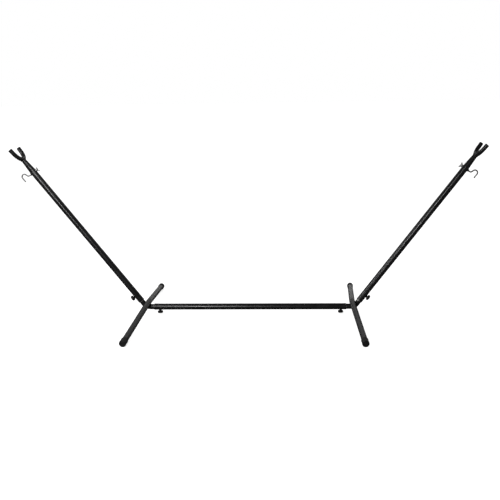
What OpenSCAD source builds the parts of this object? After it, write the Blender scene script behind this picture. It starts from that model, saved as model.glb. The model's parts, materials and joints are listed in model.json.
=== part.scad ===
// Free-standing steel hammock stand.
//
// One horizontal base tube carries a bent elbow at each end. Each elbow's two stubs plug
// into the base tube and into a slanted arm tube, where hand knobs clamp them. A shallow
// V-shaped leg sits across the crook of each elbow. Each arm ends in a welded fork that
// guides the hammock's cord, and a hook bolt below the fork holds its ring.
//
// Millimetres. +X runs along the base tube, +Z is up, and the origin lies on the floor
// under the middle of the base tube. Every piece is drawn for the right-hand end and
// mirrored for the left-hand end.

/* [Tubes] */
// Outside diameter of the base tube and the arm tubes
tube_d = 38; // [37:0.5:42]
// Wall of the base tube and the arm tubes
tube_wall = 2; // [1.5:0.1:2]
// Outside diameter of the elbow tubes that plug into them
insert_d = 32; // [29:0.5:32]
// Wall of the elbows, the legs and the forks
light_wall = 2; // [1.2:0.1:2.5]

/* [Frame] */
// Distance from the middle of the stand to each elbow's corner point
half_span = 637; // [500:1:750]
// Angle of the arms above the base tube
arm_angle = 53.5; // [46:0.5:60]
// Distance from the corner point to the fork's bar, along the arm
arm_reach = 1124; // [800:1:1300]
// Distance from the corner point to the end of the base tube
base_gap = 50; // [46:1:60]
// Distance from the corner point to the lower end of the arm tube
arm_gap = 46; // [44:1:60]
// Centre-line radius of the elbow
elbow_bend_r = 45; // [40:1:50]
// Length of each elbow stub inside its tube
stub_in = 120; // [100:1:160]

/* [Legs] */
// Outside diameter of the leg tube
leg_d = 34; // [30:0.5:36]
// Reach of each leg half, measured level from the elbow
leg_reach = 550; // [400:1:650]
// Angle that each leg half droops from the crest
leg_droop = 7.1; // [5:0.1:10]
// Centre-line radius of the bend in the middle of the leg
leg_bend_r = 150; // [100:5:250]
// Distance from the corner point to the leg's centre line, across the crook
leg_seat = 34; // [32:0.5:36]

/* [Leg caps] */
// Outside diameter of the caps on the leg ends
cap_d = 40; // [38.5:0.5:44]
// Length of leg tube that a cap covers
cap_sleeve = 40; // [25:1:60]
// Thickness of a cap's closed end
cap_end = 4; // [3:0.5:6]
// Rounding of a cap's outer edge
cap_edge = 3; // [1:0.5:3]

/* [Forks] */
// Outside diameter of the fork's tube
fork_d = 24; // [20:0.5:26]
// Centre-line radius of the fork's round bottom
fork_bend_r = 58; // [50:1:70]
// Angle that each prong leans outwards
fork_flare = 12; // [5:1:20]
// Depth of the fork, from its bottom centre line to its tips
fork_depth = 72; // [66:1:100]
// Outside diameter of the arm tube where it meets the fork
neck_d = 26; // [24:0.5:30]
// Length of the arm tube's tapered end
taper_length = 88; // [70:1:92]
// Length of a plug's head beyond the fork's tube
plug_head = 2.5; // [1.5:0.5:4]

/* [Hooks] */
// Distance of the hook's shank below the fork's bar, along the arm
hook_below = 94; // [93:1:120]
// Diameter of the hook's wire and shank
hook_d = 8; // [6:0.5:8]
// Centre-line radius of the hook's arch
hook_arch_r = 15; // [12:0.5:20]
// Length of the hook's straight outer leg
hook_leg = 27; // [15:1:40]
// Thickness of a washer
washer_t = 1.6; // [1:0.1:2]

/* [Knobs] */
// Distance of each base knob from the corner point
base_knob_at = 84; // [75:1:110]
// Distance of each arm knob from the corner point
arm_knob_at = 92; // [80:1:110]
// Diameter of a knob's head
knob_d = 33; // [28:1:38]
// Thickness of a knob's head
knob_t = 11.5; // [8:0.5:14]
// Grooves around a knob's head
knob_grooves = 8; // [6:2:12]
// Diameter of the clamp screws
screw_d = 8; // [6:1:8]

/* [Hidden] */
$fn = 64;

// Radii and cuts
tube_r = tube_d / 2;
bore_d = tube_d - 2 * tube_wall;   // inside of the base tube and the arm tubes
through = 2;                       // how far a cut runs past the surface it opens
weld = 4;                          // reach of a weld bead from the joint
slack = 0.3;                       // gap between faces of pieces that move apart
thread_gap = 0.05;                 // radial clearance of a screw in its nut
bend_swell = 0.1;                  // how much thicker a bend is than its straights
bend_lap = 0.4;                    // how far a straight runs into a bend

// Elbow: its path runs along the base tube, turns up and runs along the arm
elbow_tangent = elbow_bend_r * tan(arm_angle / 2);
elbow_path = [
    [base_gap + stub_in - elbow_tangent, elbow_bend_r, -arm_angle],
    [arm_gap + stub_in - elbow_tangent, 0, 0]
];

// Leg: its V lies in the plane that halves the elbow
leg_tilt = arm_angle / 2;
leg_vertex = leg_seat + leg_bend_r * (1 / cos(leg_droop) - 1);
leg_fall = leg_reach * tan(leg_droop);
leg_straight = leg_reach / cos(leg_droop) - leg_bend_r * tan(leg_droop);
leg_path = [[leg_straight, leg_bend_r, 2 * leg_droop], [leg_straight, 0, 0]];

// The caps' rims stand on the floor, which sets the height of the base tube's axis
rim_slope = sin(leg_droop) * cos(leg_tilt);
rim_drop = (cap_d / 2 - cap_edge) * sqrt(1 - pow(rim_slope, 2)) + cap_edge;
tip_below_axis = (leg_fall - leg_vertex) * cos(leg_tilt);
axis_z = tip_below_axis + (cap_end - cap_edge) * rim_slope + rim_drop;

// Fork: its path runs down one prong, round the bottom and up the other
fork_round = fork_bend_r * (1 - sin(fork_flare));
fork_prong = (fork_depth - fork_round) / cos(fork_flare);
fork_half = fork_bend_r * cos(fork_flare) + fork_prong * sin(fork_flare);
fork_path = [[fork_prong, fork_bend_r, 2 * fork_flare - 180], [fork_prong, 0, 0]];
fork_bore = fork_d - 2 * light_wall;
plug_stem = 14;

// Hook: its path runs through the arm, kicks up and arches over to a leg that points down
hook_at = arm_reach - hook_below;
shank_in = 34;                     // end of the shank on the wing nut's side of the arm
shank_out = 34;                    // start of the first bend on the hook's side
hook_kick = 70;
hook_kick_r = 10;
hook_rise = 12;
hook_path = [
    [shank_in + shank_out, hook_kick_r, -hook_kick],
    [hook_rise, hook_arch_r, 90 + hook_kick],
    [hook_leg, 0, 0]
];
hook_hole_d = hook_d + 1;
washer_d = 17;
nut_across = 13;
nut_corner_d = nut_across / cos(30);
nut_t = 6.5;

// Wing nut
wing_hub_d = 14;
wing_hub_t = 8;
wing_t = 3;
wing_w = 9;
wing_root = [5, 4];                // from the shank's axis, and from the nut's face
wing_tip = [11, 13];

// Clamp screws and knobs, measured outwards from the tube's axis
screw_tip = insert_d / 2 + slack;
screw_hole_d = screw_d + 1;
weld_nut_top = 24;
hub_start = 25;
head_start = 27;
knob_hub_d = 17;
knob_edge = 3.5;
groove_d = 8;
screw_cover = 3;                   // plastic left between the screw's end and the knob's face

steel = "#1d1d1f";
plastic = "#141414";
zinc = "#c3c6c9";

// Which end of the stand a piece belongs to
module right() { children(); }
module left() { mirror([1, 0, 0]) children(); }

// Frame at the corner point, with +Z along the arm and +X towards its outer, lower side
module on_arm() {
    translate([half_span, 0, axis_z]) rotate([0, 90 - arm_angle, 0]) children();
}

// Frame of a clamp screw, with its origin on the tube's axis and +Z along the screw
module at_base_knob() {
    translate([half_span - base_knob_at, 0, axis_z]) rotate([0, 180, 0]) children();
}
module at_arm_knob() {
    on_arm() translate([0, 0, arm_knob_at]) rotate([0, 90, 0]) children();
}

// Frame of the hook's shank, with +X towards the hook
module at_hook() {
    on_arm() translate([0, 0, hook_at]) children();
}

// Part of a ring that starts along +Z and turns towards +X. A bend is a touch thicker
// than the straights, and they run a little way into it.
module arc_rod(bend_r, turn, d) {
    translate([bend_r, 0, 0]) rotate([90, 0, 0]) rotate([0, 0, 180 - turn])
        rotate_extrude(angle = turn) translate([bend_r, 0]) circle(d = d + bend_swell);
}

// Round bar along a flat path. Each step is a straight length, then a bend given by its
// radius and its angle, positive towards +X.
module bent_rod(path, d, i = 0) {
    if (i < len(path)) {
        bend_r = path[i][1];
        turn = abs(path[i][2]);
        flip = path[i][2] < 0 ? 180 : 0;
        before = i > 0 ? bend_lap : 0;
        after = turn > 0 ? bend_lap : 0;
        translate([0, 0, -before]) cylinder(h = before + path[i][0] + after, d = d);
        translate([0, 0, path[i][0]]) rotate([0, 0, flip]) {
            if (turn > 0) arc_rod(bend_r, turn, d);
            translate([bend_r * (1 - cos(turn)), 0, bend_r * sin(turn)])
                rotate([0, turn, 0]) rotate([0, 0, flip]) bent_rod(path, d, i + 1);
        }
    }
}

// The same path with both ends made longer, to cut a bore that is open at both ends
function longer(path, extra) = [
    for (i = [0 : len(path) - 1])
        [path[i][0] + (i == 0 ? extra : 0) + (i == len(path) - 1 ? extra : 0), path[i][1], path[i][2]]
];

module bent_tube(path, d, wall) {
    difference() {
        bent_rod(path, d);
        translate([0, 0, -through]) bent_rod(longer(path, through), d - 2 * wall);
    }
}

// Disc with a rounded upper rim, as its half outline
module rounded_disc(r, h, edge) {
    rotate_extrude() {
        square([r - edge, h]);
        square([r, h - edge]);
        translate([r - edge, h - edge]) intersection() {
            circle(r = edge);
            square(edge);
        }
    }
}

// Where each bent piece lies
module place_elbow() {
    translate([half_span - base_gap - stub_in, 0, axis_z]) rotate([0, 90, 0]) children();
}
module place_leg() {
    translate([half_span, 0, axis_z]) rotate([0, -leg_tilt, 0])
        translate([0, 0, leg_vertex]) children();
}
module at_leg_tip(end) {
    place_leg() translate([0, end * leg_reach, -leg_fall])
        rotate([-end * (90 + leg_droop), 0, 0]) children();
}
module place_fork() {
    on_arm() translate([0, -fork_half, arm_reach + fork_depth])
        rotate([fork_flare - 180, 0, 0]) rotate([0, 0, 90]) children();
}
module at_fork_tip(end) {
    on_arm() translate([0, end * fork_half, arm_reach + fork_depth])
        rotate([-end * fork_flare, 0, 0]) children();
}

// Base tube, with a hole for each clamp screw
module base_tube() {
    color(steel) difference() {
        translate([0, 0, axis_z]) rotate([0, 90, 0])
            cylinder(h = 2 * (half_span - base_gap), d = tube_d, center = true);
        translate([0, 0, axis_z]) rotate([0, 90, 0])
            cylinder(h = 2 * half_span, d = bore_d, center = true);
        at_base_knob() cylinder(h = tube_d, d = screw_hole_d);
        left() at_base_knob() cylinder(h = tube_d, d = screw_hole_d);
    }
}

// Elbow
module elbow() {
    color(steel) place_elbow() bent_tube(elbow_path, insert_d, light_wall);
}
module elbow_solid(grow = 0) {
    place_elbow() bent_rod(elbow_path, insert_d + 2 * grow);
}

// Leg, notched where it sits on the elbow
module leg_solid(grow = 0) {
    at_leg_tip(-1) mirror([0, 0, 1]) rotate([0, 0, -90]) bent_rod(leg_path, leg_d + 2 * grow);
}
module leg() {
    color(steel) difference() {
        at_leg_tip(-1) mirror([0, 0, 1]) rotate([0, 0, -90]) bent_tube(leg_path, leg_d, light_wall);
        elbow_solid();
    }
}

// Weld bead in the groove around the leg's seat
module leg_weld() {
    color(steel) difference() {
        intersection() {
            elbow_solid(weld);
            leg_solid(weld);
        }
        elbow_solid();
        leg_solid();
    }
}

// Cap pushed over the end of a leg, with a raised ring on its closed end
module leg_cap(end) {
    ring_d = cap_d * 0.6;
    color(plastic) at_leg_tip(end) difference() {
        translate([0, 0, -cap_sleeve])
            rounded_disc(cap_d / 2, cap_sleeve + cap_end, cap_edge);
        translate([0, 0, -cap_sleeve - through])
            cylinder(h = cap_sleeve + through, d = leg_d);
        translate([0, 0, cap_end - 1]) difference() {
            cylinder(h = through, d = ring_d);
            cylinder(h = through, d = ring_d - 5);
        }
    }
}

// Arm tube, tapered at its upper end and notched around the fork's bar
module arm_shape(d, neck) {
    cylinder(h = arm_reach - taper_length, d = d);
    translate([0, 0, arm_reach - taper_length]) cylinder(h = taper_length, d1 = d, d2 = neck);
}
module arm() {
    color(steel) difference() {
        on_arm() difference() {
            arm_shape(tube_d, neck_d);
            arm_shape(bore_d, neck_d - 2 * tube_wall);
            translate([0, 0, -through]) cylinder(h = arm_gap + through, d = tube_d + through);
        }
        at_arm_knob() cylinder(h = tube_d, d = screw_hole_d);
        at_hook() rotate([0, 90, 0]) cylinder(h = 2 * tube_d, d = hook_hole_d, center = true);
        place_fork() bent_rod(fork_path, fork_d);
    }
}

// Fork, its weld and the plugs in its tips
module fork() {
    color(steel) place_fork() bent_tube(fork_path, fork_d, light_wall);
}
module fork_weld() {
    color(steel) difference() {
        intersection() {
            on_arm() arm_shape(tube_d + 2 * weld, neck_d + 2 * weld);
            place_fork() bent_rod(fork_path, fork_d + 2 * weld);
        }
        on_arm() arm_shape(tube_d, neck_d);
        place_fork() bent_rod(fork_path, fork_d);
    }
}
module fork_plugs() {
    color(plastic) for (end = [-1, 1]) at_fork_tip(end) {
        rounded_disc(fork_d / 2, plug_head, 1);
        translate([0, 0, -plug_stem]) cylinder(h = plug_stem, d = fork_bore);
    }
}

// Hook bolt with its nut, washers and wing nut
module hook() {
    color(zinc) at_hook() translate([-shank_in, 0, 0]) rotate([0, 90, 0])
        bent_rod(hook_path, hook_d);
}
module hook_nut() {
    color(zinc) at_hook() translate([tube_r + washer_t + slack, 0, 0]) rotate([0, 90, 0])
        difference() {
            cylinder(h = nut_t, d = nut_corner_d, $fn = 6);
            translate([0, 0, -through]) cylinder(h = nut_t + 2 * through, d = hook_d);
        }
}
module hook_washers() {
    color(zinc) at_hook() for (side = [-1, 1])
        translate([side * (tube_r + washer_t / 2), 0, 0]) rotate([0, 90, 0]) difference() {
            cylinder(h = washer_t, d = washer_d, center = true);
            cylinder(h = washer_t + through, d = hook_hole_d, center = true);
        }
}
module wing_outline(side) {
    run = wing_tip - wing_root;
    translate([side * wing_root[0], wing_root[1]]) rotate(-side * atan2(run[0], run[1])) {
        circle(d = wing_w);
        translate([-wing_w / 2, 0]) square([wing_w, norm(run)]);
        translate([0, norm(run)]) circle(d = wing_w);
    }
}
module wing_nut() {
    color(zinc) at_hook() translate([-(tube_r + washer_t + slack), 0, 0]) rotate([0, -90, 0])
        difference() {
            union() {
                cylinder(h = wing_hub_t, d = wing_hub_d);
                intersection() {
                    rotate([90, 0, 0]) translate([0, 0, -wing_t / 2]) linear_extrude(wing_t) {
                        wing_outline(-1);
                        wing_outline(1);
                    }
                    cylinder(h = 2 * tube_d, d = 2 * tube_d);
                }
            }
            translate([0, 0, -through])
                cylinder(h = shank_in + through, d = hook_d + 2 * thread_gap);
        }
}

// Clamp screw, the nut welded to the tube for it, and its knob
module weld_nut() {
    color(steel) difference() {
        translate([0, 0, tube_r - tube_wall])
            cylinder(h = weld_nut_top - tube_r + tube_wall, d = nut_corner_d, $fn = 6);
        rotate([0, 90, 0]) cylinder(h = tube_d, d = tube_d, center = true);
        cylinder(h = tube_d, d = screw_d + 2 * thread_gap);
    }
}
module clamp_screw() {
    color(zinc) translate([0, 0, screw_tip])
        cylinder(h = head_start + knob_t - screw_cover - screw_tip, d = screw_d);
}
module knob() {
    color(plastic) difference() {
        union() {
            translate([0, 0, hub_start]) cylinder(h = head_start - hub_start, d = knob_hub_d);
            translate([0, 0, head_start]) rounded_disc(knob_d / 2, knob_t, knob_edge);
        }
        for (i = [0 : knob_grooves - 1])
            rotate([0, 0, (i + 0.5) * 360 / knob_grooves])
                translate([knob_d / 2 + groove_d / 2 - 1.5, 0, head_start - through])
                    cylinder(h = knob_t + 2 * through, d = groove_d);
        cylinder(h = head_start + knob_t - screw_cover, d = screw_d);
    }
}

base_tube();
left() at_base_knob() weld_nut();  // left_base_nut
right() at_base_knob() weld_nut();  // right_base_nut
left() at_base_knob() clamp_screw();  // left_base_screw
right() at_base_knob() clamp_screw();  // right_base_screw
left() at_base_knob() knob();  // left_base_knob
right() at_base_knob() knob();  // right_base_knob
left() elbow();  // left_elbow
right() elbow();  // right_elbow
left() leg();  // left_leg
right() leg();  // right_leg
left() leg_weld();  // left_leg_weld
right() leg_weld();  // right_leg_weld
left() leg_cap(-1);  // left_front_cap
right() leg_cap(-1);  // right_front_cap
left() leg_cap(1);  // left_back_cap
right() leg_cap(1);  // right_back_cap
left() arm();  // left_arm
right() arm();  // right_arm
left() at_arm_knob() weld_nut();  // left_arm_nut
right() at_arm_knob() weld_nut();  // right_arm_nut
left() at_arm_knob() clamp_screw();  // left_arm_screw
right() at_arm_knob() clamp_screw();  // right_arm_screw
left() at_arm_knob() knob();  // left_arm_knob
right() at_arm_knob() knob();  // right_arm_knob
left() fork();  // left_fork
right() fork();  // right_fork
left() fork_weld();  // left_fork_weld
right() fork_weld();  // right_fork_weld
left() fork_plugs();  // left_fork_plugs
right() fork_plugs();  // right_fork_plugs
left() hook();  // left_hook
right() hook();  // right_hook
left() hook_nut();  // left_hook_nut
right() hook_nut();  // right_hook_nut
left() hook_washers();  // left_hook_washers
right() hook_washers();  // right_hook_washers
left() wing_nut();  // left_wing_nut
right() wing_nut();  // right_wing_nut
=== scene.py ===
# %% [markdown]
# # A hammock stand in black steel tube
# The stand is a kit of bent and straight tubes. A base tube joins two elbows, each elbow carries a
# shallow V-shaped leg and a slanted arm, and each arm ends in a fork and a hook bolt.
# The imported model already holds every piece at its exact size, so it is loaded first as a fixed frame.

# %% Load the imported stand
import json
import math

import bmesh
import bpy
from mathutils import Matrix, Vector


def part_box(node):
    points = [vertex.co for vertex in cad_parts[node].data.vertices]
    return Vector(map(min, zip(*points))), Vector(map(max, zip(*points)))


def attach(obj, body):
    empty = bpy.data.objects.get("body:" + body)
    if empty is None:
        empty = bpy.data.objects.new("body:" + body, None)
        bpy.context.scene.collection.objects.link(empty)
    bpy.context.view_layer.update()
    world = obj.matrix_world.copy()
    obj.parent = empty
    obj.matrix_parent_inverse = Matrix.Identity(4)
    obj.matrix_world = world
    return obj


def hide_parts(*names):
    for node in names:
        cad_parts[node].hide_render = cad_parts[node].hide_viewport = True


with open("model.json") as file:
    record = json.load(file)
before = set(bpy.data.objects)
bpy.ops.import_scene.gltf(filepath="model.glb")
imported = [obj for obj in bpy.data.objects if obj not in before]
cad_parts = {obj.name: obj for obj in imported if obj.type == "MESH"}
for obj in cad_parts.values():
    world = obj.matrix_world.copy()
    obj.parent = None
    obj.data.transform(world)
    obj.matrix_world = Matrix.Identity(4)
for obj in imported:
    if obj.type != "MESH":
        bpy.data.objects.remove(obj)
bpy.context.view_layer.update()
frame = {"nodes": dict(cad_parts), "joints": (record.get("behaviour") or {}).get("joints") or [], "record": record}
MM = 0.001
SIDES = ("left", "right")
joints = {joint["name"]: joint for joint in frame["joints"]}
mounts = {mount["name"]: mount for mount in frame["record"]["mounts"]}

# %% [markdown]
# ## Where each end of the stand lies
# Both ends are the same kit of pieces, turned to face each other. Instead of mirroring finished
# meshes, which would turn them inside out, each end gets its own right-handed frame, built from the
# joints: `up_arm` runs along the arm, `outward` points to the arm's outer, lower side, and `rise`
# halves the angle of the elbow. A piece is drawn once in a plain local frame and placed by a matrix.


# %% Frames of the two ends
def frame_at(origin, x_axis, z_axis):
    """Right-handed frame with the given X and Z directions."""
    y_axis = z_axis.cross(x_axis)
    turned = Matrix((x_axis, y_axis, z_axis)).transposed().to_4x4()
    return Matrix.Translation(origin) @ turned


def read_end(side):
    """Directions and the corner point of one end, from its joints."""
    up_arm = Vector(joints[f"{side}_arm_slide"]["axis"]).normalized()
    outward = Vector(joints[f"{side}_hook_swivel"]["axis"]).normalized()
    along_base = Vector(joints[f"{side}_corner_slide"]["axis"]).normalized()
    hook = Vector(joints[f"{side}_hook_swivel"]["pos_m"])
    screw = Vector(joints[f"{side}_base_knob_turn"]["pos_m"])
    corner = hook - up_arm * ((hook.z - screw.z) / up_arm.z)
    rise = (up_arm - along_base).normalized()
    saddle = Vector(mounts[f"{side}_fork_saddle"]["pos_m"])
    return {
        "up_arm": up_arm, "outward": outward, "along_base": along_base,
        "corner": corner, "rise": rise, "hook": hook, "saddle": saddle,
    }


def read_clamps(side):
    """Tube, its body, and the knob's place and axis, for both clamps of one end."""
    found = []
    for tube, body in (("base", "base"), ("arm", f"{side}_arm")):
        turning = joints[f"{side}_{tube}_knob_turn"]
        found.append((tube, body, Vector(turning["pos_m"]), Vector(turning["axis"]).normalized()))
    return found


ends = {side: read_end(side) for side in SIDES}
clamps = {side: read_clamps(side) for side in SIDES}
SIDEWAYS = Vector((0, 1, 0))
for side in SIDES:
    print(side, "corner point", [round(v, 4) for v in ends[side]["corner"]])

# %% [markdown]
# ## Camera
# The viewer stands back from the long side, a little right of the middle, at about head height of a
# child, and looks slightly down. The camera comes first, so that every later piece can be checked
# from the one viewpoint that matters most. Its matrix is built from three turns: yaw, pitch and roll.

# %% Camera
VIEW_PLACE = Vector((0.286, -3.915, 1.330))
VIEW_YAW, VIEW_PITCH, VIEW_ROLL = (math.radians(v) for v in (2.24, 15.78, -0.81))
VIEW_LENS = 48.54
VIEW_SHIFT = (-0.0426, 0.0582)

ahead = Vector((
    -math.sin(VIEW_YAW) * math.cos(VIEW_PITCH),
    math.cos(VIEW_YAW) * math.cos(VIEW_PITCH),
    -math.sin(VIEW_PITCH),
))
level = Vector((math.cos(VIEW_YAW), math.sin(VIEW_YAW), 0))
upright = level.cross(ahead)
rolled = math.cos(VIEW_ROLL) * level + math.sin(VIEW_ROLL) * upright

camera_data = bpy.data.cameras.new("camera")
camera_data.lens = VIEW_LENS
camera_data.shift_x, camera_data.shift_y = VIEW_SHIFT
camera_data.clip_end = 200
camera = bpy.data.objects.new("camera", camera_data)
bpy.context.scene.collection.objects.link(camera)
camera.matrix_world = frame_at(VIEW_PLACE, rolled, -ahead)
bpy.context.scene.camera = camera
print("camera looks", [round(v, 3) for v in ahead])

# %% [markdown]
# ## Floor
# A plain white floor, big enough that its edge never shows. A glossy black tube is a mirror for its
# surroundings, so a floor that is white in the mirror would wash out the tube's lower side. Light
# Path lets the floor be white to the eye and dark grey to the reflections, like a black flag laid
# beside the object in a studio.


# %% Helpers for shader nodes
def connect(tree, value, socket):
    """Links an output to a socket, or sets a plain number, tuple or colour on it."""
    if isinstance(value, bpy.types.NodeSocket):
        tree.links.new(value, socket)
    else:
        socket.default_value = value


def add_node(tree, kind, settings=None, **inputs):
    """New node with its settings. Inputs go by socket name, with spaces as underscores."""
    node = tree.nodes.new(kind)
    for key, value in (settings or {}).items():
        setattr(node, key, value)
    for key, value in inputs.items():
        connect(tree, value, node.inputs[key.replace("_", " ")])
    return node


def new_material(name):
    """Empty node material, its tree and its Principled shader."""
    material = bpy.data.materials.new(name)
    material.use_nodes = True
    tree = material.node_tree
    return material, tree, tree.nodes["Principled BSDF"]


def by_ray(tree, to_eye, to_mirror):
    """Shader that the camera sees as one thing, and reflections and light as another."""
    path = tree.nodes.new("ShaderNodeLightPath")
    choice = add_node(tree, "ShaderNodeMixShader", Fac=path.outputs["Is Camera Ray"])
    connect(tree, to_mirror, choice.inputs[1])
    connect(tree, to_eye, choice.inputs[2])
    return choice.outputs[0]


# %% Floor
FLOOR_HALF = 60
FLOOR_WHITE, FLOOR_GLOW, FLOOR_MIRRORED = 0.9, 0.78, 0.12
floor_material, tree, shader = new_material("studio_floor")
tree.nodes.remove(shader)
seen = add_node(tree, "ShaderNodeBsdfDiffuse", Color=(*[FLOOR_WHITE] * 3, 1))
glow = add_node(tree, "ShaderNodeEmission", Color=(1, 1, 1, 1), Strength=FLOOR_GLOW)
mirrored = add_node(tree, "ShaderNodeBsdfDiffuse", Color=(*[FLOOR_MIRRORED] * 3, 1))
both = tree.nodes.new("ShaderNodeAddShader")
connect(tree, seen.outputs[0], both.inputs[0])
connect(tree, glow.outputs[0], both.inputs[1])
surface = by_ray(tree, both.outputs[0], mirrored.outputs[0])
connect(tree, surface, tree.nodes["Material Output"].inputs["Surface"])

floor_mesh = bpy.data.meshes.new("floor")
floor_mesh.from_pydata(
    [(x * FLOOR_HALF, y * FLOOR_HALF, 0) for x, y in ((-1, -1), (1, -1), (1, 1), (-1, 1))],
    [], [(0, 1, 2, 3)],
)
floor = bpy.data.objects.new("floor", floor_mesh)
floor.data.materials.append(floor_material)
bpy.context.scene.collection.objects.link(floor)
print("floor reaches", FLOOR_HALF, "m each way")

# %% [markdown]
# ## Light
# Thin black tubes are drawn by their highlights. A small box hangs close over the left half of the
# base tube, so its soft line fades towards the right. A tall, bright one stands left of the viewer
# and picks out the left arm. A third, far to the left, draws the line on the right arm. The rest of
# the room stays dark, so every tube keeps black edges. A wide overhead light reaches only the floor,
# for a faint contact shadow.


# %% Soft boxes
def soft_box(name, place, target, size, brightness):
    """Area light whose surface has the given brightness."""
    data = bpy.data.lights.new(name, "AREA")
    data.shape = "RECTANGLE"
    data.size, data.size_y = size
    data.energy = brightness * size[0] * size[1] * math.pi
    lamp = bpy.data.objects.new(name, data)
    bpy.context.scene.collection.objects.link(lamp)
    lamp.visible_camera = False
    facing = (Vector(target) - Vector(place)).normalized()
    lamp.matrix_world = Matrix.Translation(place) @ facing.to_track_quat("-Z", "Y").to_matrix().to_4x4()
    return lamp


soft_box("near_box", (-0.8, -0.8, 1.45), (-0.5, 0, 0.05), (0.4, 0.4), 3.8)
soft_box("front_box", (-0.9, -3.9, 1.7), (-1.0, 0, 0.7), (0.4, 1.2), 30.0)
soft_box("far_box", (-2.6, -1.3, 1.8), (0.9, 0, 0.4), (0.9, 0.9), 7.6)

overhead_data = bpy.data.lights.new("overhead", "SUN")
overhead_data.energy = 1.0
overhead_data.angle = math.radians(70)
overhead = bpy.data.objects.new("overhead", overhead_data)
bpy.context.scene.collection.objects.link(overhead)
floor_only = bpy.data.collections.new("floor_only")
floor_only.objects.link(floor)
overhead.light_linking.receiver_collection = floor_only

# %% Room
world = bpy.data.worlds.new("room")
bpy.context.scene.world = world
world.use_nodes = True
tree = world.node_tree
tree.nodes.clear()
direction = tree.nodes.new("ShaderNodeTexCoord")
split = add_node(tree, "ShaderNodeSeparateXYZ", Vector=direction.outputs["Generated"])


def brightness_by_height(stops):
    """Grey by the height of a direction, from straight down at 0 to straight up at 1."""
    height = add_node(tree, "ShaderNodeMapRange", Value=split.outputs["Z"],
                      From_Min=-1.0, From_Max=1.0)
    ramp = add_node(tree, "ShaderNodeValToRGB", Fac=height.outputs[0])
    marks = ramp.color_ramp.elements
    while len(marks) < len(stops):
        marks.new(0.5)
    for mark, (at, value) in zip(marks, stops):
        mark.position = at
        mark.color = (value, value, value, 1)
    return ramp.outputs["Color"]


behind = brightness_by_height([
    (0.49, 0.05), (0.505, 0.9), (0.535, 0.9), (0.575, 0.05), (0.63, 0.04), (0.725, 0.55),
    (0.81, 0.5), (0.87, 0.03), (1.0, 0.02),
])
before = brightness_by_height([(0.45, 0.04), (0.55, 0.08), (1.0, 0.04)])
side_mask = add_node(tree, "ShaderNodeMapRange", {"interpolation_type": "SMOOTHSTEP"},
                     Value=split.outputs["Y"], From_Min=-0.1, From_Max=0.5)
blend = add_node(tree, "ShaderNodeMix", {"data_type": "RGBA"},
                 Factor=side_mask.outputs[0], A=before, B=behind)
dim = add_node(tree, "ShaderNodeBackground", Color=blend.outputs["Result"], Strength=1.0)
white = add_node(tree, "ShaderNodeBackground", Color=(1, 1, 1, 1), Strength=1.0)
surface = by_ray(tree, white.outputs[0], dim.outputs[0])
add_node(tree, "ShaderNodeOutputWorld", Surface=surface)
bpy.context.scene.view_settings.view_transform = "Standard"

# %% [markdown]
# ## Shared surface effects
# Powder coat, moulded plastic and zinc plate look different, but they share the same small effects:
# a skin that isn't quite flat, handling marks, and a little dust on what faces up. Each effect is a
# node group, built once. A material places it with its own sizes, and only masks and heights leave it.


# %% Node groups for surface effects
def new_group(name, inputs, outputs):
    """Shader node group, its inputs to read and its outputs to fill."""
    group = bpy.data.node_groups.new(name, "ShaderNodeTree")
    for socket, kind, value in inputs:
        made = group.interface.new_socket(socket, in_out="INPUT", socket_type=kind)
        if value is not None:
            made.default_value = value
    for socket in outputs:
        group.interface.new_socket(socket, in_out="OUTPUT", socket_type=FLOAT)
    given = group.nodes.new("NodeGroupInput").outputs
    return group, given, group.nodes.new("NodeGroupOutput").inputs


def noise_in(tree, vector, scale, detail=3.0, roughness=0.5):
    """Noise texture on the given vector."""
    noise = add_node(tree, "ShaderNodeTexNoise", Vector=vector, Scale=scale,
                     Detail=detail, Roughness=roughness)
    return noise.outputs["Fac"]


def math_in(tree, operation, *values):
    """Math node; each value is a number or an output."""
    node = add_node(tree, "ShaderNodeMath", {"operation": operation})
    for socket, value in zip(node.inputs, values):
        connect(tree, value, socket)
    return node.outputs[0]


def range_in(tree, value, low, high, to_low=0.0, to_high=1.0):
    """Smooth remap of an output between two limits."""
    node = add_node(
        tree, "ShaderNodeMapRange", {"interpolation_type": "SMOOTHSTEP"},
        Value=value, From_Min=low, From_Max=high, To_Min=to_low, To_Max=to_high,
    )
    return node.outputs[0]


FLOAT, VECTOR = "NodeSocketFloat", "NodeSocketVector"

# Skin: broad waviness under fine pimples, as paint or plastic has
skin_group, given, result = new_group(
    "rippled skin", [("Vector", VECTOR, None), ("Broad Scale", FLOAT, 250.0),
                     ("Fine Scale", FLOAT, 900.0)], ["Height", "Tone"])
broad = noise_in(skin_group, given["Vector"], given["Broad Scale"])
fine = noise_in(skin_group, given["Vector"], given["Fine Scale"], detail=1.0)
height = math_in(skin_group, "ADD", math_in(skin_group, "MULTIPLY", broad, 0.45), fine)
connect(skin_group, height, result["Height"])
connect(skin_group, noise_in(skin_group, given["Vector"], 14.0, detail=5.0, roughness=0.6), result["Tone"])

# Handling marks: long faint streaks, broken up by a second noise
marks_group, given, result = new_group(
    "handling marks", [("Vector", VECTOR, None), ("Scale", FLOAT, 60.0)], ["Mask"])
stretch = add_node(marks_group, "ShaderNodeMapping", Vector=given["Vector"],
                   Scale=(0.35, 6.0, 1.4), Rotation=(0.3, 0.5, 0.9))
streaks = noise_in(marks_group, stretch.outputs[0], given["Scale"], detail=4.0, roughness=0.7)
patches = noise_in(marks_group, given["Vector"], 9.0, detail=2.0)
thin = range_in(marks_group, streaks, 0.62, 0.72)
mask = math_in(marks_group, "MULTIPLY", thin, range_in(marks_group, patches, 0.5, 0.65))
connect(marks_group, mask, result["Mask"])

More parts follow.
